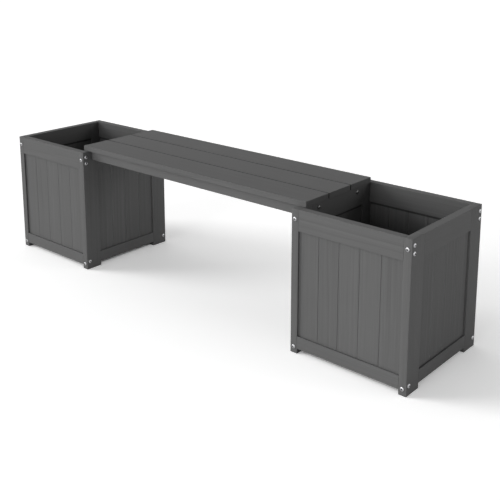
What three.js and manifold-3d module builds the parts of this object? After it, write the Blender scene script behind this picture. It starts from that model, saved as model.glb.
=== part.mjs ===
// Garden bench with planters: a three-board seat carried by two square planter boxes.
// Millimetres, +Z up. The origin is on the ground under the middle of the seat, +X runs along
// the bench and -Y is its front.

import * as THREE from 'three';
import { mergeVertices } from 'three/addons/utils/BufferGeometryUtils.js';
import Module from 'manifold-3d';

const wasm = await Module();
wasm.setup();

// Whole bench
const benchLength = 1760;
const planterSide = 398;
const planterHeight = 450;

// Clearances between pieces
const jointGap = 0.2;
const grooveSideGap = 0.4;
const grooveEndGap = 0.5;
const boreGap = 0.5;
const cutOverrun = 2;

// Planter frame: four posts with rails between them
const frameThickness = 25;
const postDepth = 65;
const topRailHeight = 65;
const bottomRailHeight = 40;
const footHeight = 16;
const frameEdgeRadius = 0.8;

// Tongue and groove boards that close each side of a planter
const claddingThickness = 13;
const claddingGrooveDepth = 8;
const frontBoardCount = 5;
const endBoardCount = 4;
const veeHalfWidth = 1;
const veeDepth = 1;
const slitHalfWidth = 0.25;
const slitDepth = 1.9;

// Planter floor: boards with drainage gaps, lying on two cleats
const floorBoardCount = 4;
const floorBoardThickness = 12;
const drainGap = 6;
const floorMargin = 1;
const cleatWidth = 20;
const cleatHeight = 18;
const cleatRise = 4;

// Seat
const seatBoardCount = 3;
const seatBoardThickness = 18;
const seatBoardGap = 3.5;
const seatEdgeRadius = 1;
const seatSetback = 29;
const seatOverlap = 30;
const apronSetback = 12;
const apronHeight = 33;
const apronThickness = 22;
const battenWidth = 30;

// Bolts, with their places on the posts
const boltHeadRadius = 6.4;
const boltHeadRim = 0.8;
const boltHeadHeight = 3.6;
const boltHeadSeat = 1;
const boltShankRadius = 3;
const boltSides = 12;
const railBoltReach = 30;
const boltEdgeInset = 12.5;
const faceBoltDrop = 30;
const faceBoltRise = 20.5;
const endBoltDrops = [18.5, 42];
const endBoltRise = 29.5;
const seatBoltInset = 33.5;
const seatBoltReach = 20;

// Curves are drawn with few segments, because the edges are only broken, not moulded
const edgeSegments = 2;
const domeSegments = 3;

// Sizes that follow from those above
const planterHalf = planterSide / 2;
const planterCentre = benchLength / 2 - planterHalf;
const seatSpan = benchLength - 2 * planterSide;
const seatLength = seatSpan + 2 * seatOverlap;
const seatDepth = planterSide - 2 * seatSetback;
const seatUnderside = planterHeight + jointGap;
const topRailUnderside = planterHeight - topRailHeight;
const bottomRailTop = footHeight + bottomRailHeight;
const grooveWidth = claddingThickness + 2 * grooveSideGap;
const frontOpening = planterSide - 2 * frameThickness;
const endOpening = planterSide - 2 * postDepth;
const seatBoltOffset = endOpening / 2 - seatBoltInset;

// Finishes
const paint = { color: 0x646464, roughness: 0.72, metalness: 0 };
const paintedFrame = new THREE.MeshStandardMaterial(paint);
const paintedCladding = new THREE.MeshStandardMaterial({ ...paint, color: 0x606060 });
const paintedSeat = new THREE.MeshStandardMaterial({ ...paint, roughness: 0.66 });
const paintedInside = new THREE.MeshStandardMaterial({ ...paint, color: 0x555555, roughness: 0.8 });
const zincPlated = new THREE.MeshStandardMaterial({ color: 0xc8c9cb, roughness: 0.3, metalness: 0.9 });

// Closed geometry: shared vertices are merged and the empty triangles at a pole are left out.
function closed(geometry) {
  const bare = new THREE.BufferGeometry();
  bare.setAttribute('position', geometry.getAttribute('position'));
  bare.setIndex(geometry.getIndex());
  const merged = mergeVertices(bare);
  const source = merged.getIndex().array;
  const kept = [];
  for (let i = 0; i < source.length; i += 3) {
    const [a, b, c] = [source[i], source[i + 1], source[i + 2]];
    if (a !== b && b !== c && c !== a) kept.push(a, b, c);
  }
  merged.setIndex(kept);
  return merged;
}

function toSolid(geometry) {
  const merged = closed(geometry);
  return new wasm.Manifold(new wasm.Mesh({
    numProp: 3,
    vertProperties: merged.getAttribute('position').array,
    triVerts: Uint32Array.from(merged.getIndex().array),
  }));
}

function toGeometry(solid) {
  const { vertProperties, triVerts } = solid.getMesh();
  const geometry = new THREE.BufferGeometry();
  geometry.setAttribute('position', new THREE.BufferAttribute(vertProperties, 3));
  geometry.setIndex(new THREE.BufferAttribute(triVerts, 1));
  return geometry;
}

// A body with others joined to it and then others cut from it.
function carved(body, added, removed) {
  let solid = toSolid(body);
  for (const geometry of added) solid = solid.add(toSolid(geometry));
  for (const geometry of removed) solid = solid.subtract(toSolid(geometry));
  return toGeometry(solid);
}

// The mirror image of a geometry across the plane x = 0, with its faces turned to point out.
function mirroredAcrossX(geometry) {
  const mirrored = closed(geometry);
  mirrored.applyMatrix4(new THREE.Matrix4().makeScale(-1, 1, 1));
  const index = mirrored.getIndex().array;
  const turned = [];
  for (let i = 0; i < index.length; i += 3) turned.push(index[i], index[i + 2], index[i + 1]);
  mirrored.setIndex(turned);
  return mirrored;
}

// An outline through corners given as [x, y, radius], each rounded by its own radius.
function roundedOutline(corners) {
  const shape = new THREE.Shape();
  corners.forEach(([x, y, radius], i) => {
    const corner = new THREE.Vector2(x, y);
    const before = new THREE.Vector2(...corners.at(i - 1));
    const after = new THREE.Vector2(...corners[(i + 1) % corners.length]);
    const start = corner.clone().lerp(before, radius / corner.distanceTo(before));
    const end = corner.clone().lerp(after, radius / corner.distanceTo(after));
    if (i === 0) shape.moveTo(start.x, start.y);
    else shape.lineTo(start.x, start.y);
    if (radius > 0) shape.quadraticCurveTo(x, y, end.x, end.y);
  });
  shape.closePath();
  return shape;
}

function rectangleCorners(width, height, radius) {
  return [
    [-width / 2, -height / 2, radius],
    [width / 2, -height / 2, radius],
    [width / 2, height / 2, radius],
    [-width / 2, height / 2, radius],
  ];
}

// Extrudes an outline along Z, centred on the origin. Its ends are sawn square, or broken by
// the given bevel.
function extruded(shape, length, bevel = 0) {
  const geometry = new THREE.ExtrudeGeometry(shape, {
    depth: length - 2 * bevel,
    curveSegments: edgeSegments,
    bevelEnabled: bevel > 0,
    bevelThickness: bevel,
    bevelSize: bevel,
    bevelOffset: -bevel,
    bevelSegments: 1,
  });
  return geometry.translate(0, 0, bevel - length / 2);
}

// Turns a piece extruded along Z so that it runs along X, its outline's x across the bench (Y)
// and its outline's y upwards (Z).
function alongX(geometry) {
  const turn = new THREE.Matrix4().set(
    0, 0, 1, 0,
    1, 0, 0, 0,
    0, 1, 0, 0,
    0, 0, 0, 1,
  );
  return geometry.applyMatrix4(turn);
}

function box(width, depth, height, x, y, z) {
  return new THREE.BoxGeometry(width, depth, height).translate(x, y, z);
}

function named(name, geometry, material, x = 0, y = 0, z = 0) {
  const mesh = new THREE.Mesh(geometry, material);
  mesh.name = name;
  mesh.position.set(x, y, z);
  return mesh;
}

// A bolt along the Y axis: its shank runs down from the face that it bears on, at y = 0, and
// its head is a low dome over a short rim. A head that is one with its post is let into it.
function bolt(shankLength, headSeat = 0) {
  const profile = [
    new THREE.Vector2(0, -shankLength),
    new THREE.Vector2(boltShankRadius, -shankLength),
    new THREE.Vector2(boltShankRadius, -headSeat),
    new THREE.Vector2(boltHeadRadius, -headSeat),
  ];
  for (let i = 0; i < domeSegments; i++) {
    const angle = (Math.PI / 2) * (i / domeSegments);
    const rise = (boltHeadHeight - boltHeadRim) * Math.sin(angle);
    profile.push(new THREE.Vector2(boltHeadRadius * Math.cos(angle), boltHeadRim + rise));
  }
  profile.push(new THREE.Vector2(0, boltHeadHeight));
  return new THREE.LatheGeometry(profile, boltSides);
}

// The hole for a bolt's shank, along X: from the plane x = 0 it goes the given depth towards -X,
// and it starts a little outside the wood.
function boltBore(depth) {
  const radius = boltShankRadius + boreGap;
  const bore = new THREE.CylinderGeometry(radius, radius, depth + cutOverrun, boltSides);
  return bore.rotateZ(-Math.PI / 2).translate((cutOverrun - depth) / 2, 0, 0);
}

// A post of the front right corner. Its wide face is part of the planter's end, its narrow one
// of the front. It stands on the ground, and its origin is at the outer corner of that footing.
// Two stopped grooves hold the cladding. Five bolts pass through it at different heights and
// stand out on its inner sides, where the ends of the rails slide over them.
function cornerPost() {
  const profile = roundedOutline(rectangleCorners(frameThickness, postDepth, frameEdgeRadius));
  const body = extruded(profile, planterHeight, frameEdgeRadius);
  body.translate(-frameThickness / 2, postDepth / 2, planterHeight / 2);

  const grooveBottom = bottomRailTop - claddingGrooveDepth;
  const grooveTop = topRailUnderside + claddingGrooveDepth;
  const grooveLength = grooveTop - grooveBottom;
  const grooveMiddle = (grooveTop + grooveBottom) / 2;
  const cutDepth = claddingGrooveDepth + cutOverrun;
  const cutMiddle = (cutOverrun - claddingGrooveDepth) / 2;
  const frontGroove = box(
    cutDepth, grooveWidth, grooveLength,
    -frameThickness - cutMiddle, frameThickness / 2, grooveMiddle,
  );
  const endGroove = box(
    grooveWidth, cutDepth, grooveLength,
    -frameThickness / 2, postDepth + cutMiddle, grooveMiddle,
  );

  const faceHeights = [planterHeight - faceBoltDrop, faceBoltRise];
  const endHeights = [...endBoltDrops.map((drop) => planterHeight - drop), endBoltRise];
  const faceBolt = bolt(postDepth + railBoltReach, boltHeadSeat).rotateX(Math.PI);
  const endBolt = bolt(frameThickness + railBoltReach, boltHeadSeat).rotateZ(-Math.PI / 2);
  const bolts = [
    ...faceHeights.map((z) => faceBolt.clone().translate(-boltEdgeInset, 0, z)),
    ...endHeights.map((z) => endBolt.clone().translate(0, boltEdgeInset, z)),
  ];
  return carved(body, bolts, [frontGroove, endGroove]);
}

// A rail seen along its length, with the groove for the cladding in its lower or upper edge.
// The outline's x goes through the thickness of the wall.
function railOutline(height, grooveIsBelow) {
  const half = frameThickness / 2;
  const side = grooveIsBelow ? -1 : 1;
  const edge = side * height / 2;
  const bottom = edge - side * claddingGrooveDepth;
  return roundedOutline([
    [-half, edge, frameEdgeRadius],
    [-grooveWidth / 2, edge, 0],
    [-grooveWidth / 2, bottom, 0],
    [grooveWidth / 2, bottom, 0],
    [grooveWidth / 2, edge, 0],
    [half, edge, frameEdgeRadius],
    [half, -edge, frameEdgeRadius],
    [-half, -edge, frameEdgeRadius],
  ]);
}

// A rail along X with the holes in its ends for the bolts, at the given heights from its middle.
function rail(opening, height, grooveIsBelow, boreHeights) {
  const length = opening - 2 * jointGap;
  const body = alongX(extruded(railOutline(height, grooveIsBelow), length));
  const bores = boreHeights.flatMap((z) => {
    const bore = boltBore(railBoltReach + boreGap).translate(length / 2, 0, z);
    return [bore, bore.clone().rotateZ(Math.PI)];
  });
  return carved(body, [], bores);
}

// The boards of one side seen from above: equal boards between the posts, with a vee and a
// fine slit where they meet, on both faces. Its edges run on into the grooves of the posts.
function claddingOutline(opening, boardCount) {
  const reach = opening / 2 + claddingGrooveDepth - grooveEndGap;
  const face = claddingThickness / 2;
  const pitch = opening / boardCount;
  const across = (side) => {
    const points = [[-reach, side * face, 0]];
    for (let i = 1; i < boardCount; i++) {
      const x = i * pitch - opening / 2;
      const veeBottom = side * (face - veeDepth);
      const slitBottom = veeBottom - side * slitDepth;
      points.push([x - veeHalfWidth, side * face, 0]);
      points.push([x - slitHalfWidth, veeBottom, 0], [x - slitHalfWidth, slitBottom, 0]);
      points.push([x + slitHalfWidth, slitBottom, 0], [x + slitHalfWidth, veeBottom, 0]);
      points.push([x + veeHalfWidth, side * face, 0]);
    }
    points.push([reach, side * face, 0]);
    return points;
  };
  return roundedOutline([...across(-1), ...across(1).reverse()]);
}

function cladding(opening, boardCount) {
  const hidden = claddingGrooveDepth - grooveEndGap;
  const height = topRailUnderside - bottomRailTop + 2 * hidden;
  return extruded(claddingOutline(opening, boardCount), height);
}

// The top rail next to the seat, with two more holes through it for the bolts of the seat.
function seatRail(opening, boreHeights) {
  const height = (topRailHeight - apronHeight) / 2;
  const bores = [-1, 1].map((side) => {
    const bore = boltBore(frameThickness + cutOverrun).translate(frameThickness / 2, 0, 0);
    return bore.rotateZ(Math.PI / 2).translate(side * seatBoltOffset, 0, height);
  });
  return carved(rail(opening, topRailHeight, true, boreHeights), [], bores);
}

// One side of a planter in its own frame: it runs along X, and its outer face looks to -Y.
// The pieces are named after the planter and the side. Drops and rises are the heights of the
// bolts that enter the ends of the rails, from the rim and from the ground.
function wall(prefix, side, { opening, boardCount, drops, rises }, carriesSeat = false) {
  const group = new THREE.Group();
  const middle = frameThickness / 2;
  const topHeight = planterHeight - topRailHeight / 2;
  const bottomHeight = footHeight + bottomRailHeight / 2;
  const claddingHeight = (topRailUnderside + bottomRailTop) / 2;
  const topBores = drops.map((drop) => topRailHeight / 2 - drop);
  const bottomBores = rises.map((rise) => rise - bottomHeight);
  const topRail = carriesSeat
    ? seatRail(opening, topBores)
    : rail(opening, topRailHeight, true, topBores);
  const bottomRail = rail(opening, bottomRailHeight, false, bottomBores);
  group.add(
    named(`${prefix}_top_rail_${side}`, topRail, paintedFrame, 0, middle, topHeight),
    named(`${prefix}_bottom_rail_${side}`, bottomRail, paintedFrame, 0, middle, bottomHeight),
    named(
      `${prefix}_cladding_${side}`, cladding(opening, boardCount), paintedCladding,
      0, middle, claddingHeight,
    ),
  );
  return group;
}

// The floor lies on cleats fixed along the bottom rails of the two ends, with gaps between its
// boards for drainage.
function planterFloor(prefix, outwards) {
  const group = new THREE.Group();
  const room = frontOpening - 2 * floorMargin;
  const cleatTop = footHeight + cleatRise + cleatHeight;
  const cleat = extruded(
    roundedOutline(rectangleCorners(cleatWidth, cleatHeight, frameEdgeRadius)), room,
  );
  const cleatOffset = (frontOpening - cleatWidth) / 2 - jointGap;
  for (const [side, sign] of [['outer', outwards], ['inner', -outwards]]) {
    const mesh = named(`${prefix}_floor_cleat_${side}`, cleat, paintedInside);
    mesh.rotation.x = -Math.PI / 2;
    mesh.position.set(sign * cleatOffset, 0, cleatTop - cleatHeight / 2);
    group.add(mesh);
  }

  const boardWidth = (room - (floorBoardCount - 1) * drainGap) / floorBoardCount;
  const board = alongX(extruded(
    roundedOutline(rectangleCorners(boardWidth, floorBoardThickness, frameEdgeRadius)), room,
  ));
  const boardHeight = cleatTop + jointGap + floorBoardThickness / 2;
  for (let i = 0; i < floorBoardCount; i++) {
    const y = (i - (floorBoardCount - 1) / 2) * (boardWidth + drainGap);
    group.add(named(`${prefix}_floor_board_${i + 1}`, board, paintedInside, 0, y, boardHeight));
  }
  return group;
}

// A planter standing on the ground around its own middle. Outwards is +1 where its outer end
// looks to +X and -1 where it looks to -X.
function planter(prefix, outwards) {
  const group = new THREE.Group();
  const rightPost = closed(cornerPost());
  const leftPost = mirroredAcrossX(rightPost);
  const sideName = (sign) => (sign === outwards ? 'outer' : 'inner');
  for (const sign of [1, -1]) {
    const front = named(
      `${prefix}_post_${sideName(sign)}_front`, sign > 0 ? rightPost : leftPost, paintedFrame,
      sign * planterHalf, -planterHalf,
    );
    const back = named(
      `${prefix}_post_${sideName(sign)}_back`, sign > 0 ? leftPost : rightPost, paintedFrame,
      sign * planterHalf, planterHalf,
    );
    back.rotation.z = Math.PI;
    group.add(front, back);
  }

  const frontWall = {
    opening: frontOpening, boardCount: frontBoardCount, drops: endBoltDrops, rises: [endBoltRise],
  };
  const endWall = {
    opening: endOpening, boardCount: endBoardCount, drops: [faceBoltDrop], rises: [faceBoltRise],
  };
  const front = wall(prefix, 'front', frontWall);
  const back = wall(prefix, 'back', frontWall);
  front.position.y = -planterHalf;
  back.position.y = planterHalf;
  back.rotation.z = Math.PI;
  group.add(front, back);
  for (const sign of [1, -1]) {
    const end = wall(prefix, sideName(sign), endWall, sign !== outwards);
    end.position.x = sign * planterHalf;
    end.rotation.z = sign * Math.PI / 2;
    group.add(end);
  }

  group.add(planterFloor(prefix, outwards));
  group.position.x = outwards * planterCentre;
  return group;
}

function seatBoards() {
  const group = new THREE.Group();
  const width = (seatDepth - (seatBoardCount - 1) * seatBoardGap) / seatBoardCount;
  const outline = roundedOutline(rectangleCorners(width, seatBoardThickness, seatEdgeRadius));
  const board = alongX(extruded(outline, seatLength, seatEdgeRadius));
  const height = seatUnderside + seatBoardThickness / 2;
  for (const [i, place] of ['front', 'middle', 'back'].entries()) {
    const y = (i - (seatBoardCount - 1) / 2) * (width + seatBoardGap);
    group.add(named(`seat_board_${place}`, board, paintedSeat, 0, y, height));
  }
  return group;
}

// The frame under the boards: an apron a little behind each edge, a batten bolted to each
// planter and two more at the thirds of the span.
function seatFrame() {
  const group = new THREE.Group();
  const height = planterHeight - apronHeight / 2;
  const apron = alongX(extruded(
    roundedOutline(rectangleCorners(apronThickness, apronHeight, frameEdgeRadius)),
    seatSpan - 2 * jointGap,
  ));
  const apronOffset = (seatDepth - apronThickness) / 2 - apronSetback;
  group.add(
    named('seat_apron_front', apron, paintedFrame, 0, -apronOffset, height),
    named('seat_apron_back', apron, paintedFrame, 0, apronOffset, height),
  );

  const battenLength = seatDepth - 2 * (apronSetback + apronThickness + jointGap);
  const battenOutline = roundedOutline(
    rectangleCorners(battenWidth, apronHeight, frameEdgeRadius),
  );
  const plainBatten = extruded(battenOutline, battenLength).rotateX(-Math.PI / 2);
  const bores = [-1, 1].map((side) => boltBore(seatBoltReach + boreGap)
    .translate(battenWidth / 2, side * seatBoltOffset, 0));
  const boredBatten = carved(plainBatten, [], bores);
  const endOffset = (seatSpan - battenWidth) / 2 - jointGap;
  for (const [end, sign] of [['left', -1], ['right', 1]]) {
    const x = sign * endOffset;
    const endBatten = named(`seat_end_batten_${end}`, boredBatten, paintedFrame, x, 0, height);
    if (sign < 0) endBatten.rotation.z = Math.PI;
    group.add(
      endBatten,
      named(`seat_cross_batten_${end}`, plainBatten, paintedFrame, x / 3, 0, height),
    );
  }
  return group;
}

// Each seat bolt passes from inside a planter through its top rail into the end batten.
function seatBolts() {
  const group = new THREE.Group();
  const grip = jointGap + frameThickness + jointGap;
  const seatBolt = closed(bolt(grip + seatBoltReach));
  const innerFace = seatSpan / 2 + frameThickness + jointGap;
  const height = planterHeight - apronHeight / 2;
  for (const [end, sign] of [['left', -1], ['right', 1]]) {
    for (const [place, side] of [['front', -1], ['back', 1]]) {
      const y = side * seatBoltOffset;
      const mesh = named(`seat_bolt_${end}_${place}`, seatBolt, zincPlated);
      mesh.rotation.z = -sign * Math.PI / 2;
      mesh.position.set(sign * innerFace, y, height);
      group.add(mesh);
    }
  }
  return group;
}

const bench = new THREE.Group();
bench.add(
  planter('left', -1),
  planter('right', 1),
  seatBoards(),
  seatFrame(),
  seatBolts(),
);

export default bench;
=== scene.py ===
import bmesh
import bpy
import math
import random
from mathutils import Matrix, Vector


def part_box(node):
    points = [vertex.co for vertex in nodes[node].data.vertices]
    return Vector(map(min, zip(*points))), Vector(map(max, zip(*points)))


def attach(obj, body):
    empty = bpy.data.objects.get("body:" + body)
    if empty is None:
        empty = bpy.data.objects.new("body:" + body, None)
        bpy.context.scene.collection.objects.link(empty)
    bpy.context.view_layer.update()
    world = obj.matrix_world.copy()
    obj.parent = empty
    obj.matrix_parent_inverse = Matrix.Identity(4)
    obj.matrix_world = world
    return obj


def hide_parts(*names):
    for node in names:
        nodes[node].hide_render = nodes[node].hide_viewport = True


# Bench seat carried by two square planters, all in painted timber.
# Metres, +Z up, the bench along X, its front towards -Y.
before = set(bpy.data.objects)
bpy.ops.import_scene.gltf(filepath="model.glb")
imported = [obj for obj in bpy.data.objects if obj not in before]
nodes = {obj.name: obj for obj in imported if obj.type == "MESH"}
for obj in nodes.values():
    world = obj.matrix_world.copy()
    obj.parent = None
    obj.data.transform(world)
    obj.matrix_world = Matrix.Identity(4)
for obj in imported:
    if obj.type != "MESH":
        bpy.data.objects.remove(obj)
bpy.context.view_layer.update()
random.seed(23)  # for the bolts' spins, and for where the grain of each piece starts
print("frame loaded:", len(nodes), "nodes")

# A face is picked when it lies this near its place and looks this squarely its way, as a cosine.
# Doubles are points that lie nearer to each other than the last of these.
pick = {"near": 1e-5, "square": 0.99, "doubles": 1e-6}


def deselectAll():
    bpy.ops.object.select_all(action="DESELECT")


def workOn(piece):
    deselectAll()
    piece.select_set(True)
    bpy.context.view_layer.objects.active = piece


def openMesh(piece):
    workOn(piece)
    bpy.ops.object.mode_set(mode="EDIT")
    bpy.ops.mesh.select_mode(type="FACE")


def closeMesh():
    bpy.ops.object.mode_set(mode="OBJECT")


def pickFaces(piece, wanted):
    # wanted is asked with each face's middle and normal
    mesh = bmesh.from_edit_mesh(piece.data)
    for face in mesh.faces:
        face.select_set(False)
    for face in mesh.faces:
        if wanted(face.calc_center_median(), face.normal):
            face.select_set(True)
    bmesh.update_edit_mesh(piece.data)


def extrudeBy(move):
    bpy.ops.mesh.extrude_region_move(TRANSFORM_OT_translate={"value": tuple(move)})


def narrow(share, level):
    # draws what is picked in towards the Z axis
    bpy.ops.transform.resize(value=(share, share, 1), center_override=(0, 0, level))


def turnFacesOut(piece):
    openMesh(piece)
    bpy.ops.mesh.select_all(action="SELECT")
    bpy.ops.mesh.remove_doubles(threshold=pick["doubles"])
    bpy.ops.mesh.normals_make_consistent(inside=False)
    closeMesh()


def settle(piece):
    # the place goes into the mesh, the object stays at the origin
    workOn(piece)
    bpy.ops.object.transform_apply(location=True, rotation=True, scale=True)


def rename(piece, name):
    piece.name = name
    piece.data.name = name


def copyOf(master, name):
    workOn(master)
    bpy.ops.object.duplicate()
    piece = bpy.context.active_object
    rename(piece, name)
    return piece


def joinPieces(parts, name):
    workOn(parts[0])
    for part in parts:
        part.select_set(True)
    bpy.ops.object.join()
    rename(parts[0], name)
    return parts[0]


def cutAway(piece, cutter):
    workOn(piece)
    cut = piece.modifiers.new("cut", "BOOLEAN")
    cut.operation = "DIFFERENCE"
    cut.solver = "EXACT"
    cut.object = cutter
    bpy.ops.object.modifier_apply(modifier=cut.name)
    bpy.data.objects.remove(cutter)


def smoothRounds(piece, angle):
    workOn(piece)
    bpy.ops.object.shade_smooth_by_angle(angle=math.radians(angle))


# Node tree helpers: nodes stand in columns, in the order they are made
nodeGrid = {"rows": 6, "width": 200, "height": 320}


def feed(tree, socket, value):
    if isinstance(value, bpy.types.NodeSocket):
        tree.links.new(value, socket)
    else:
        socket.default_value = value


def addNode(tree, kind, inputs=None, **settings):
    # inputs takes a socket's name or number, with its value or the output that feeds it
    column, row = divmod(len(tree.nodes), nodeGrid["rows"])
    made = tree.nodes.new("ShaderNode" + kind)
    made.location = (column * nodeGrid["width"], -row * nodeGrid["height"])
    for name, value in settings.items():
        setattr(made, name, value)
    for name, value in (inputs or {}).items():
        feed(tree, made.inputs[name], value)
    return made


def mathNode(tree, operation, *values):
    return addNode(tree, "Math", dict(enumerate(values)), operation=operation).outputs[0]


def vectorNode(tree, operation, *values):
    return addNode(tree, "VectorMath", dict(enumerate(values)), operation=operation).outputs[0]


def scaled(tree, vector, factor):
    inputs = {"Vector": vector, "Scale": factor}
    return addNode(tree, "VectorMath", inputs, operation="SCALE").outputs[0]


def partsOf(tree, vector):
    return addNode(tree, "SeparateXYZ", {"Vector": vector}).outputs


def rangeOf(tree, value, source, target, smooth=False):
    made = addNode(tree, "MapRange", {
        "Value": value,
        "From Min": source[0], "From Max": source[1],
        "To Min": target[0], "To Max": target[1],
    }, interpolation_type="SMOOTHSTEP" if smooth else "LINEAR")
    return made.outputs[0]


def newMaterial(name):
    finish = bpy.data.materials.new(name)
    finish.use_nodes = True
    finish.node_tree.nodes.clear()
    return finish, finish.node_tree


def newFinish(name):
    finish, tree = newMaterial(name)
    shader = addNode(tree, "BsdfPrincipled")
    addNode(tree, "OutputMaterial", {"Surface": shader.outputs[0]})
    return finish, tree, shader


def addBump(tree, shader, height, strength, depth):
    bump = addNode(tree, "Bump", {"Height": height, "Strength": strength, "Distance": depth})
    tree.links.new(bump.outputs[0], shader.inputs["Normal"])


# Corner post: the wide face belongs to the planter's end, the narrow one to its front or back.
# Modelled with the outer corner of its foot at the origin, as a planter's front right post.
# Its grooves run a little past the rails, as the rails' own grooves do past the boards.
post = {
    "thickness": 0.025, "depth": 0.065, "height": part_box("right_post_outer_front")[1].z,
    "arris": 0.0009, "arrisSteps": 3, "roundAngle": 35,
    "grooveWidth": 0.0138, "grooveDepth": 0.008,
    "lowerRail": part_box("right_bottom_rail_front")[1].z,
    "upperRail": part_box("right_top_rail_front")[0].z,
    "holeRadius": 0.00325, "holeSides": 24, "drillLength": 1.5,  # in lengths of the hole

    # the bolts through the narrow face and the wide one, down from the top and up from the ground
    "faceDrops": (0.03,), "faceRises": (0.0205,), "endDrops": (0.0185, 0.042), "endRises": (0.0295,),
    "boltInset": 0.0125,
}


def boltHeights(kind):
    fromTop = [post["height"] - drop for drop in post[kind + "Drops"]]
    return [*fromTop, *post[kind + "Rises"]]


def cutGroove(piece, side, middle, across):
    # a stopped groove for the boards, sunk into the face that looks along side
    up = Vector((0, 0, 1))
    half = across * post["grooveWidth"] / 2
    low = post["lowerRail"] - post["grooveDepth"]
    high = post["upperRail"] + post["grooveDepth"]
    cuts = [(middle - half, across), (middle + half, across), (up * low, up), (up * high, up)]

    def onSide(centre, normal):
        off = abs((centre - middle).dot(side))
        return normal.dot(side) > pick["square"] and off < pick["near"]

    def inGroove(centre, normal):
        near = abs((centre - middle).dot(across)) < half.length
        return onSide(centre, normal) and near and low < centre.z < high

    for place, direction in cuts:
        pickFaces(piece, onSide)
        bpy.ops.mesh.bisect(plane_co=place, plane_no=direction)
    pickFaces(piece, inGroove)
    extrudeBy(side * -post["grooveDepth"])


def drillPost(piece):
    # through holes for the five bolts, at heights where they pass each other
    thickness, depth, inset = post["thickness"], post["depth"], post["boltInset"]
    quarter = math.pi / 2
    holes = [((-inset, depth / 2, z), (quarter, 0, 0), depth) for z in boltHeights("face")]
    holes += [((-thickness / 2, inset, z), (0, quarter, 0), thickness)
              for z in boltHeights("end")]
    drills = []
    for place, turn, length in holes:
        bpy.ops.mesh.primitive_cylinder_add(
            vertices=post["holeSides"], radius=post["holeRadius"],
            depth=length * post["drillLength"], location=place, rotation=turn)
        drills.append(bpy.context.active_object)
    cutAway(piece, joinPieces(drills, "drills"))


def modelPost():
    thickness, depth, height = post["thickness"], post["depth"], post["height"]
    bpy.ops.mesh.primitive_cube_add(
        size=1, location=(-thickness / 2, depth / 2, height / 2), scale=(thickness, depth, height))
    piece = bpy.context.active_object
    settle(piece)
    openMesh(piece)
    bpy.ops.mesh.select_all(action="SELECT")
    bpy.ops.mesh.bevel(offset=post["arris"], segments=post["arrisSteps"], affect="EDGES")
    cutGroove(piece, Vector((-1, 0, 0)), Vector((-thickness, thickness / 2, 0)), Vector((0, 1, 0)))
    cutGroove(piece, Vector((0, 1, 0)), Vector((-thickness / 2, depth, 0)), Vector((1, 0, 0)))
    closeMesh()
    drillPost(piece)
    smoothRounds(piece, post["roundAngle"])
    return piece


# Zinc on the bolts: a faint mottle and fine marks from the key, with painted shade down in the
# socket.
# The bolts that look into a planter get a darker copy of the zinc: painted shade.
zinc = {
    "head": {"bright": (0.40, 0.40, 0.41), "dull": (0.30, 0.30, 0.31), "rough": (0.26, 0.42)},
    "shadedHead": {"bright": (0.13, 0.13, 0.13), "dull": (0.09, 0.09, 0.09), "rough": (0.38, 0.55)},
    "socket": {"bright": (0.09, 0.09, 0.09), "dull": (0.05, 0.05, 0.05), "rough": (0.50, 0.70)},
    "mottle": {"Scale": 420.0, "Detail": 3.0}, "mottleSpan": (0.35, 0.62),
    "marks": {"Scale": 2600.0, "Detail": 2.0, "Distortion": 1.5}, "markSpan": (0.35, 0.65),
    "markStrength": 0.2, "markDepth": 0.0001,
}


def zincFinish(name, look):
    finish, tree, shader = newFinish(name)
    places = addNode(tree, "TexCoord").outputs["Object"]
    mottle = addNode(tree, "TexNoise", {"Vector": places, **zinc["mottle"]}).outputs["Fac"]
    marks = addNode(tree, "TexNoise", {"Vector": places, **zinc["marks"]}).outputs["Fac"]
    ramp = addNode(tree, "ValToRGB", {"Fac": mottle})
    stops = ramp.color_ramp.elements
    for stop, place, colour in zip(stops, zinc["mottleSpan"], (look["dull"], look["bright"])):
        stop.position = place
        stop.color = (*colour, 1)
    tree.links.new(ramp.outputs["Color"], shader.inputs["Base Color"])
    rough = rangeOf(tree, marks, zinc["markSpan"], look["rough"])
    tree.links.new(rough, shader.inputs["Roughness"])
    addBump(tree, shader, marks, zinc["markStrength"], zinc["markDepth"])
    shader.inputs["Metallic"].default_value = 1.0
    return finish


zincSteel = zincFinish("zincSteel", zinc["head"])
shadedZinc = zincFinish("shadedZinc", zinc["shadedHead"])
shadedSocketSteel = zincFinish("shadedSocketSteel", zinc["socket"])


# Bolt with a low domed head and a hexagon socket, its head standing on the plane z = 0
bolt = {
    "headRadius": 0.0064, "headSides": 32, "rim": 0.0008, "headHeight": 0.0036, "domeSteps": 6,
    "socketFlats": 0.005, "socketDepth": 0.0024, "socketCone": 0.0006, "conePoint": 0.1,
    "shankRadius": 0.003, "tip": 0.0008, "tipShare": 0.75, "roundAngle": 40,
}


def raiseDome(piece):
    # ring by ring, from the rim up
    radius, rim = bolt["headRadius"], bolt["rim"]
    pickFaces(piece, lambda centre, normal: normal.z > pick["square"])
    reach, level = radius, rim
    for step in range(1, bolt["domeSteps"]):
        angle = math.pi / 2 * step / bolt["domeSteps"]
        newReach = radius * math.cos(angle)
        newLevel = rim + (bolt["headHeight"] - rim) * math.sin(angle)
        extrudeBy((0, 0, newLevel - level))
        narrow(newReach / reach, newLevel)
        reach, level = newReach, newLevel


def drawShank(piece, length):
    # down from the head, with a broken tip
    pickFaces(piece, lambda centre, normal: normal.z < -pick["square"])
    bpy.ops.mesh.inset(thickness=bolt["headRadius"] - bolt["shankRadius"])
    extrudeBy((0, 0, bolt["tip"] - length))
    extrudeBy((0, 0, -bolt["tip"]))
    narrow(bolt["tipShare"], -length)


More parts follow.
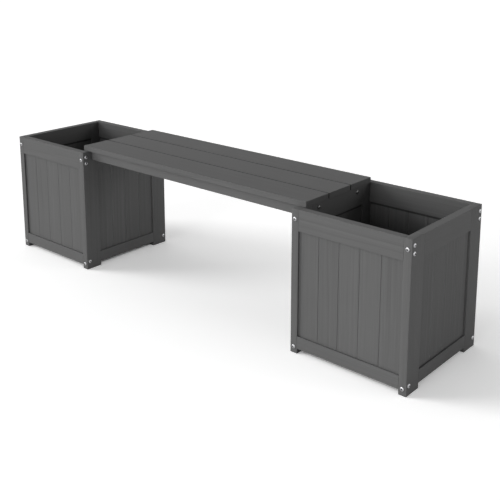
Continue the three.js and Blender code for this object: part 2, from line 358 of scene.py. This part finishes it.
def sinkSocket(piece):
    # a hexagon, cut by a prism that stands half above the head, with the drill's point below it
    top, depth, cone = bolt["headHeight"], bolt["socketDepth"], bolt["socketCone"]
    bpy.ops.mesh.primitive_cylinder_add(
        vertices=6, radius=bolt["socketFlats"] / math.sqrt(3), depth=depth * 2,
        location=(0, 0, top))
    cutAway(piece, bpy.context.active_object)

    def onFloor(centre, normal):
        return normal.z > pick["square"] and abs(centre.z - top + depth) < pick["near"]

    openMesh(piece)
    pickFaces(piece, onFloor)
    extrudeBy((0, 0, -cone))
    narrow(bolt["conePoint"], top - depth - cone)
    closeMesh()


def inSocket(centre):
    reach = bolt["socketFlats"] / 2 + pick["near"]
    return centre.z > 0 and math.hypot(centre.x, centre.y) < reach


def modelBolt(shankLength, headFinish):
    bpy.ops.mesh.primitive_cylinder_add(
        vertices=bolt["headSides"], radius=bolt["headRadius"], depth=bolt["rim"],
        location=(0, 0, bolt["rim"] / 2))
    piece = bpy.context.active_object
    settle(piece)
    openMesh(piece)
    raiseDome(piece)
    drawShank(piece, shankLength)
    closeMesh()
    sinkSocket(piece)
    turnFacesOut(piece)
    smoothRounds(piece, bolt["roundAngle"])
    piece.data.materials.append(headFinish)
    piece.data.materials.append(shadedSocketSteel)
    for face in piece.data.polygons:
        face.material_index = 1 if inSocket(face.center) else 0
    return piece


def placeBolt(master, name, place, looking):
    # each socket stops at its own angle, within a sixth of a turn
    piece = copyOf(master, name)
    spin = Matrix.Rotation(random.uniform(0, math.pi / 3), 4, "Z")
    aim = Vector(looking).to_track_quat("Z", "Y").to_matrix().to_4x4()
    piece.matrix_world = Matrix.Translation(place) @ aim @ spin
    settle(piece)
    return piece


def seatBoltPlace(node):
    # where the head bears on the rail, and how long its shank is
    low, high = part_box(node)
    middle = (low + high) / 2
    face = max(abs(low.x), abs(high.x)) - bolt["headHeight"]
    shank = face - min(abs(low.x), abs(high.x))
    return Vector((math.copysign(face, middle.x), middle.y, middle.z)), shank


# Where the outer corners of the posts stand, and how far a bolt goes on into the rail
bench = {
    "halfLength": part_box("right_top_rail_outer")[1].x,
    "seatHalfSpan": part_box("right_top_rail_inner")[0].x,
    "halfDepth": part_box("right_top_rail_back")[1].y,
    "boltInRail": 0.03,
}

cornerPost = modelPost()
faceBolt = modelBolt(post["depth"] + bench["boltInRail"], zincSteel)
endBolt = modelBolt(post["thickness"] + bench["boltInRail"], zincSteel)
seatBolt = modelBolt(seatBoltPlace("seat_bolt_right_front")[1], shadedZinc)
print("post and bolts modelled")


def addPost(name, node, corner, turn):
    # turn is 1 or -1 along X and Y, and mirrors the post into its corner
    piece = copyOf(cornerPost, name)
    piece.scale = (*turn, 1)
    piece.location = (*corner, 0)
    settle(piece)
    turnFacesOut(piece)
    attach(piece, "root")
    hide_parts(node)
    return piece


def addPostBolts(name, corner, turn):
    x, y = corner
    outwards, inwards = turn
    inset = post["boltInset"]
    parts = [placeBolt(faceBolt, "bolt", (x - outwards * inset, y, z), (0, -inwards, 0))
             for z in boltHeights("face")]
    parts += [placeBolt(endBolt, "bolt", (x, y + inwards * inset, z), (outwards, 0, 0))
              for z in boltHeights("end")]
    piece = joinPieces(parts, name)
    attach(piece, "root")
    return piece


def addSeatBolt(name, node, side):
    piece = placeBolt(seatBolt, name, seatBoltPlace(node)[0], (side, 0, 0))
    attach(piece, "root")
    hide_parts(node)
    return piece


posts, bolts = [], []
for planter, side in (("left", -1), ("right", 1)):
    for end, edge, outwards in (("outer", "halfLength", side), ("inner", "seatHalfSpan", -side)):
        for place, inwards in (("front", 1), ("back", -1)):
            name = f"{planter}_{end}_{place}"
            corner = (side * bench[edge], -inwards * bench["halfDepth"])
            turn = (outwards, inwards)
            piece = addPost(name + "_post", f"{planter}_post_{end}_{place}", corner, turn)
            posts.append((piece, end))
            bolts.append(addPostBolts(name + "_bolts", corner, turn))

for end, side in (("left", -1), ("right", 1)):
    for place in ("front", "back"):
        bolts.append(addSeatBolt(f"seat_{end}_{place}_bolt", f"seat_bolt_{end}_{place}", side))

for master in (cornerPost, faceBolt, endBolt, seatBolt):
    bpy.data.objects.remove(master)
print("posts:", len(posts), "bolt pieces:", len(bolts))


# Painted timber: the grain shows faintly through a matt film.
# A scale is a count per metre; a pair of them is along the grain and across it. Spans are of the
# noise, from where something starts to where it is full. Fades are distances in metres.
timber = {
    # the noises that make the grain, and how far it wanders from side to side
    "pores": {"scale": (9.0, 460.0), "noise": {"Detail": 4.0, "Roughness": 0.6}},
    "streaks": {"scale": (0.9, 215.0), "noise": {"Detail": 2.0, "Roughness": 0.45}},
    "figure": {"scale": (1.3, 30.0), "noise": {"Detail": 1.0}},
    "wander": {"scale": (1.6, 9.0), "noise": {"Detail": 1.0}, "reach": 0.005},
    "noiseMiddle": 0.5,

    # growth rings: their tilt to the grain in degrees, and how far they are drawn out along it
    "rings": {"Scale": 17.0, "Distortion": 5.0, "Detail": 2.0, "Detail Scale": 1.2},
    "ringTilt": 0.8, "ringStretch": 0.06,

    # what each adds to the grain's height, which starts from ground
    "figureSpan": (0.45, 0.6), "figureShown": (0.2, 1.0),
    "ringShare": 0.2, "streakShare": 0.8, "lineShare": 0.9, "poreShare": 0.4, "ground": 0.3,

    # how far apart the grain of two pieces and of two boards starts, and each board's own tone
    "spread": 20.0, "boardJump": 3.0, "boardSwing": 0.025,

    # the film
    "patches": {"Scale": 4.0, "Detail": 3.0}, "patchSpan": (0.3, 0.7), "patchSwing": 0.02,
    "toneSpan": (0.25, 0.75), "roughSpan": (0.3, 0.7), "gloss": 0.03, "bumpDepth": 0.0005,

    # painted light and shade: a highlight on the arrises, shade in the gaps of the seat, on sawn
    # ends, a highlight in the vees of the cladding, shade in the strip under a top rail and on inner
    # faces
    "edgeWidth": 0.0013, "edgeLift": 0.07, "edgeBreakSpan": (0.42, 0.6), "edgeBreakShare": (0.25, 1.0),
    "gapShade": 0.30, "gapFade": 0.0006, "endShade": 0.85, "endFade": 0.0005,
    "veeFade": (0.0009, 0.0015), "veeDepth": 0.003,
    "railShade": 0.42, "railFade": (0.0065, 0.0095),
    "innerShade": 0.86, "innerFade": (0.0003, 0.0012),
}

# The swing is how far the grain moves the tone.
paints = {
    "frame": {"tone": (0.1086, 0.1086, 0.1086), "swing": 0.09, "rough": (0.52, 0.66), "bump": 0.35},
    "board": {"tone": (0.1074, 0.1074, 0.1074), "swing": 0.14, "rough": (0.54, 0.68), "bump": 0.45},
    "seat": {"tone": (0.1062, 0.1062, 0.1062), "swing": 0.17, "rough": (0.50, 0.64), "bump": 0.50},
    # the inside tone is darker than the frame's: painted shade for the battens under the seat and
    # the planters' floors
    "inside": {"tone": (0.090, 0.090, 0.090), "swing": 0.20, "rough": (0.64, 0.78), "bump": 0.60},
}


def alongGrain(grain, pair):
    along, across = pair
    return tuple(along if axis == grain else across for axis in "XYZ")


def aroundOne(swing):
    return 1 - swing, 1 + swing


def stretchedNoise(tree, point, grain, look):
    # noise drawn out along the grain
    scale = alongGrain(grain, look["scale"])
    squeezed = addNode(tree, "Mapping", {"Vector": point, "Scale": scale}).outputs[0]
    return addNode(tree, "TexNoise", {"Vector": squeezed, "Scale": 1.0, **look["noise"]}).outputs


def sideToSide(tree, point, grain):
    # the grain wanders a little on its way
    drift = stretchedNoise(tree, point, grain, timber["wander"])["Color"]
    sway = vectorNode(tree, "SUBTRACT", drift, (timber["noiseMiddle"],) * 3)
    reach = alongGrain(grain, (0, timber["wander"]["reach"]))
    return vectorNode(tree, "ADD", point, vectorNode(tree, "MULTIPLY", sway, reach))


def growthRings(tree, point, grain):
    # the rings of a trunk that lies almost along the grain
    tilt = alongGrain(grain, (0, math.radians(timber["ringTilt"])))
    trunk = addNode(tree, "Mapping", {"Vector": point, "Rotation": tilt}).outputs[0]
    scale = alongGrain(grain, (timber["ringStretch"], 1.0))
    drawn = addNode(tree, "Mapping", {"Vector": trunk, "Scale": scale}).outputs[0]
    rings = addNode(tree, "TexWave", {"Vector": drawn, **timber["rings"]},
                    wave_type="RINGS", rings_direction=grain, wave_profile="SAW")
    return rings.outputs["Fac"]


def grainHeight(tree, point, grain):
    # about 0 to 1: pores all over, with streaks and rings only where the figure shows
    pores = stretchedNoise(tree, point, grain, timber["pores"])["Fac"]
    streaks = stretchedNoise(tree, point, grain, timber["streaks"])["Fac"]
    figure = stretchedNoise(tree, point, grain, timber["figure"])["Fac"]
    rings = growthRings(tree, point, grain)

    shown = rangeOf(tree, figure, timber["figureSpan"], timber["figureShown"], smooth=True)
    streaky = mathNode(tree, "MULTIPLY", streaks, timber["streakShare"])
    lines = mathNode(tree, "MULTIPLY_ADD", rings, timber["ringShare"], streaky)
    lines = mathNode(tree, "SUBTRACT", lines, timber["noiseMiddle"])
    lines = mathNode(tree, "MULTIPLY", lines, shown)
    lines = mathNode(tree, "MULTIPLY_ADD", lines, timber["lineShare"], timber["ground"])
    return mathNode(tree, "MULTIPLY_ADD", pores, timber["poreShare"], lines), pores


def patchShade(tree, point):
    patches = addNode(tree, "TexNoise", {"Vector": point, **timber["patches"]}).outputs["Fac"]
    return rangeOf(tree, patches, timber["patchSpan"], aroundOne(timber["patchSwing"]))


def edgeHighlight(tree, places, low, high, pores):
    # a painted highlight on the arrises, where two of the piece's sides are near, broken up by the
    # pores
    fromLow = vectorNode(tree, "SUBTRACT", places, tuple(low))
    fromHigh = vectorNode(tree, "SUBTRACT", tuple(high), places)
    x, y, z = partsOf(tree, vectorNode(tree, "MINIMUM", fromLow, fromHigh))
    nearer = mathNode(tree, "MINIMUM", x, y)
    further = mathNode(tree, "MAXIMUM", x, y)
    second = mathNode(tree, "MAXIMUM", nearer, mathNode(tree, "MINIMUM", further, z))
    edge = rangeOf(tree, second, (0, timber["edgeWidth"]), (1, 0), smooth=True)
    broken = rangeOf(tree, pores, timber["edgeBreakSpan"], timber["edgeBreakShare"], smooth=True)
    litEdge = mathNode(tree, "MULTIPLY", edge, broken)
    return mathNode(tree, "MULTIPLY_ADD", litEdge, timber["edgeLift"], 1.0)


def gapShades(tree, parts, gaps):
    # painted shade in the gaps between the seat boards
    shades = []
    for middle, half in gaps:
        away = mathNode(tree, "ABSOLUTE", mathNode(tree, "SUBTRACT", parts[1], middle))
        fade = (half, half + timber["gapFade"])
        shades.append(rangeOf(tree, away, fade, (timber["gapShade"], 1), smooth=True))
    return shades


def endShade(tree, parts, grain, low, high):
    # painted shade on the sawn ends of the seat boards, which look into the planters
    axis = "XYZ".index(grain)
    fromLow = mathNode(tree, "SUBTRACT", parts[axis], low[axis])
    fromHigh = mathNode(tree, "SUBTRACT", high[axis], parts[axis])
    nearest = mathNode(tree, "MINIMUM", fromLow, fromHigh)
    return rangeOf(tree, nearest, (0, timber["endFade"]), (timber["endShade"], 1))


def innerShade(tree, parts, wall):
    # painted shade on the face that looks into a planter
    off = mathNode(tree, "SUBTRACT", parts[wall["axis"]], wall["inner"])
    away = mathNode(tree, "ABSOLUTE", off)
    return rangeOf(tree, away, timber["innerFade"], (timber["innerShade"], 1))


def jointShades(tree, parts, boards, count):
    # a painted highlight in the vees on the outside of a wall, and painted shade on the inside in
    # the strip under the top rail
    off = mathNode(tree, "SUBTRACT", count, mathNode(tree, "ROUND", count))
    away = mathNode(tree, "MULTIPLY", mathNode(tree, "ABSOLUTE", off), boards["pitch"])
    joint = rangeOf(tree, away, timber["veeFade"], (1, 0), smooth=True)
    wall = boards["wall"]
    depth = timber["veeDepth"] * wall["outwards"]
    vees = (wall["middle"] - depth, wall["middle"] + depth)
    outside = rangeOf(tree, parts[wall["axis"]], vees, (0, 1))
    litVees = mathNode(tree, "MULTIPLY", joint, outside)
    lift = mathNode(tree, "MULTIPLY_ADD", litVees, boards["veeLift"], 1.0)

    full, gone = timber["railFade"]
    rail = boards["topRail"]
    under = rangeOf(tree, parts[2], (rail - gone, rail - full), (0, 1), smooth=True)
    railShadow = mathNode(tree, "MULTIPLY", under, mathNode(tree, "SUBTRACT", 1.0, outside))
    return [lift, mathNode(tree, "MULTIPLY_ADD", railShadow, timber["railShade"] - 1, 1.0)]


def boardLots(tree, parts, boards, start):
    # counts the boards across a wall, and draws a lot for each
    off = mathNode(tree, "SUBTRACT", parts[boards["axis"]], boards["first"])
    count = mathNode(tree, "DIVIDE", off, boards["pitch"])
    seed = mathNode(tree, "ADD", mathNode(tree, "FLOOR", count), start)
    lot = addNode(tree, "TexWhiteNoise", {"W": seed}, noise_dimensions="1D")
    return count, lot.outputs["Color"], lot.outputs["Value"]


def paintedTimber(name, look, grain, low, high, boards=None, gaps=None, wall=None):
    # grain is the axis it runs along; boards, gaps and wall are for the pieces that have them
    finish, tree, shader = newFinish(name + "_paint")
    places = addNode(tree, "TexCoord").outputs["Object"]
    parts = partsOf(tree, places)
    spread = timber["spread"]
    start = tuple(random.uniform(-spread, spread) for _ in range(3))
    point = addNode(tree, "Mapping", {"Vector": places, "Location": start}).outputs[0]

    # shades beside the grain's own: each board's own tone, and painted light and shade in joints and
    # gaps, at ends and on inner faces
    shades = []
    if boards:
        count, jump, lot = boardLots(tree, parts, boards, start[0])
        point = vectorNode(tree, "ADD", point, scaled(tree, jump, timber["boardJump"]))
        shades.append(rangeOf(tree, lot, (0, 1), aroundOne(timber["boardSwing"])))
        shades += jointShades(tree, parts, boards, count)
    if gaps:
        shades += gapShades(tree, parts, gaps)
        shades.append(endShade(tree, parts, grain, low, high))
    if wall:
        shades.append(innerShade(tree, parts, wall))

    point = sideToSide(tree, point, grain)
    height, pores = grainHeight(tree, point, grain)
    shades.append(patchShade(tree, point))
    shades.append(edgeHighlight(tree, places, low, high, pores))
    factor = rangeOf(tree, height, timber["toneSpan"], aroundOne(look["swing"]))
    for shade in shades:
        factor = mathNode(tree, "MULTIPLY", factor, shade)

    tree.links.new(scaled(tree, look["tone"], factor), shader.inputs["Base Color"])
    rough = rangeOf(tree, height, timber["roughSpan"], look["rough"])
    tree.links.new(rough, shader.inputs["Roughness"])
    addBump(tree, shader, height, look["bump"], timber["bumpDepth"])
    shader.inputs["Specular IOR Level"].default_value = timber["gloss"]
    return finish


def paint(piece, finish):
    if not piece.material_slots:
        piece.data.materials.append(finish)
    for slot in piece.material_slots:
        slot.material = finish


def boxOf(piece):
    corners = [Vector(corner) for corner in piece.bound_box]
    low = Vector(min(corner[i] for corner in corners) for i in range(3))
    high = Vector(max(corner[i] for corner in corners) for i in range(3))
    return low, high


def longestSide(low, high):
    size = high - low
    return "XYZ"[max(range(3), key=lambda i: size[i])]


def wallOf(place, low, high):
    # the axis across a wall of a planter, its middle and inner face there, and which way its
    # outside looks
    axis = 1 if place in ("front", "back") else 0
    middle = (low[axis] + high[axis]) / 2
    outwards = math.copysign(1, middle)
    if place == "inner":
        outwards = -outwards
    inner = low[axis] if outwards > 0 else high[axis]
    return {"axis": axis, "middle": middle, "outwards": outwards, "inner": inner}


# veeLift is a painted highlight in the vees on the outside of a wall
cladding = {
    "tongue": 0.0075,
    "long": {"boards": 5, "veeLift": 0.25}, "end": {"boards": 4, "veeLift": 0.6},
}


def boardsOf(name, wall, low, high):
    # where the boards of a wall lie between its posts
    axis = 1 - wall["axis"]
    look = cladding["long" if axis == 0 else "end"]
    first = low[axis] + cladding["tongue"]
    last = high[axis] - cladding["tongue"]
    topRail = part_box(name.replace("_cladding_", "_top_rail_"))[0].z
    return {"axis": axis, "first": first, "pitch": (last - first) / look["boards"],
            "veeLift": look["veeLift"], "wall": wall, "topRail": topRail}


def seatGaps():
    # the middle and half width of the gaps between the seat boards, from front to back
    boxes = [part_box(f"seat_board_{place}") for place in ("front", "middle", "back")]
    gaps = [(nearer[1].y, further[0].y) for nearer, further in zip(boxes, boxes[1:])]
    return [((start + end) / 2, (end - start) / 2) for start, end in gaps]


for piece, end in posts:
    low, high = boxOf(piece)
    wall = wallOf(end, low, high)
    paint(piece, paintedTimber(piece.name, paints["frame"], "Z", low, high, wall=wall))

for name, node in sorted(nodes.items()):
    if "_post_" in name or name.startswith("seat_bolt"):
        continue
    low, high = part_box(name)
    grain = longestSide(low, high)
    place = name.split("_")[-1]
    if "_cladding_" in name:
        boards = boardsOf(name, wallOf(place, low, high), low, high)
        finish = paintedTimber(name, paints["board"], "Z", low, high, boards=boards)
    elif "_rail_" in name:
        wall = wallOf(place, low, high)
        finish = paintedTimber(name, paints["frame"], grain, low, high, wall=wall)
    elif name.startswith("seat_board"):
        finish = paintedTimber(name, paints["seat"], grain, low, high, gaps=seatGaps())
    elif name.startswith("seat_apron"):
        finish = paintedTimber(name, paints["frame"], grain, low, high)
    else:
        finish = paintedTimber(name, paints["inside"], grain, low, high)
    paint(node, finish)
print("timber painted")


# Studio: a wide white floor, a soft sky and four broad lamps.
# A lamp's azimuth is 0 in front of the bench and 90 at its right end.
studio = {
    "floorSize": 80.0, "floorColour": (1.0, 1.0, 1.0), "floorGlow": 0.295,
    "underFade": (0.01, 0.03), "sky": 0.19,
    "lamps": {
        "frontLeft": {"azimuth": -60, "elevation": 20, "width": 30, "power": 2.40},
        "front": {"azimuth": 0, "elevation": 10, "width": 30, "power": 1.39},
        "backRight": {"azimuth": 120, "elevation": 10, "width": 30, "power": 0.87},
        "overLeft": {"azimuth": -90, "elevation": 62, "width": 60, "power": 0.73},
    },
}
# Nearly the photograph's view. Its own has no tilt and a larger shift, and a shift that large
# would push the bench out of the frame in the other views.
camera = {
    "place": (1.9238, -2.0401, 1.2209), "azimuth": 41.03, "elevation": 11.98,
    "lens": 60.81, "sensor": 36.0, "shiftY": -0.27, "clipEnd": 200.0,
}


def seenDirectly(tree):
    # 1 for rays from the camera, from gloss and through glass, 0 for light on its way to a surface
    path = addNode(tree, "LightPath").outputs
    plain = mathNode(tree, "MAXIMUM", path["Is Camera Ray"], path["Is Glossy Ray"])
    return mathNode(tree, "MAXIMUM", plain, path["Is Transmission Ray"])


def besidePlanters(tree):
    # 0 on the ground under a planter, which shows between the boards of its floor: the glow is taken
    # away there as painted shade
    parts = partsOf(tree, addNode(tree, "TexCoord").outputs["Object"])
    along = mathNode(tree, "ABSOLUTE", parts[0])
    across = mathNode(tree, "ABSOLUTE", parts[1])
    inside = mathNode(tree, "SUBTRACT", bench["halfDepth"], across)
    for margin in ((along, bench["seatHalfSpan"]), (bench["halfLength"], along)):
        inside = mathNode(tree, "MINIMUM", inside, mathNode(tree, "SUBTRACT", *margin))
    return rangeOf(tree, inside, studio["underFade"], (1, 0), smooth=True)


def makeFloor():
    bpy.ops.mesh.primitive_plane_add(size=studio["floorSize"], location=(0, 0, 0))
    floor = bpy.context.active_object
    floor.name = "floor"
    finish, tree = newMaterial("floorWhite")
    matt = addNode(tree, "BsdfDiffuse", {"Color": (*studio["floorColour"], 1)}).outputs[0]
    seen = rangeOf(tree, seenDirectly(tree), (0, 1), (0, studio["floorGlow"]))
    strength = mathNode(tree, "MULTIPLY", seen, besidePlanters(tree))
    glow = addNode(tree, "Emission", {"Strength": strength}).outputs[0]
    both = addNode(tree, "AddShader", {0: matt, 1: glow}).outputs[0]
    addNode(tree, "OutputMaterial", {"Surface": both})
    floor.data.materials.append(finish)


def makeSky():
    # white where it is seen, and a weak light on the bench
    sky = bpy.data.worlds.new("sky")
    bpy.context.scene.world = sky
    sky.use_nodes = True
    tree = sky.node_tree
    background = tree.nodes["Background"]
    background.inputs["Color"].default_value = (1, 1, 1, 1)
    level = rangeOf(tree, seenDirectly(tree), (0, 1), (studio["sky"], 1))
    tree.links.new(level, background.inputs["Strength"])


def makeLamp(name, azimuth, elevation, width, power):
    turn = (math.radians(90 - elevation), 0, math.radians(azimuth))
    bpy.ops.object.light_add(type="SUN", rotation=turn)
    lamp = bpy.context.active_object
    lamp.name = name
    lamp.data.energy = power
    lamp.data.angle = math.radians(width)


def makeCamera():
    turn = (math.radians(90 - camera["elevation"]), 0, math.radians(camera["azimuth"]))
    bpy.ops.object.camera_add(location=camera["place"], rotation=turn)
    eye = bpy.context.active_object
    eye.name = "camera"
    eye.data.lens = camera["lens"]
    eye.data.sensor_width = camera["sensor"]
    eye.data.shift_y = camera["shiftY"]
    eye.data.clip_end = camera["clipEnd"]
    bpy.context.scene.camera = eye


makeFloor()
makeSky()
for name, lamp in studio["lamps"].items():
    makeLamp(name, **lamp)
makeCamera()
bpy.context.scene.view_settings.view_transform = "Standard"
deselectAll()
print("studio set")
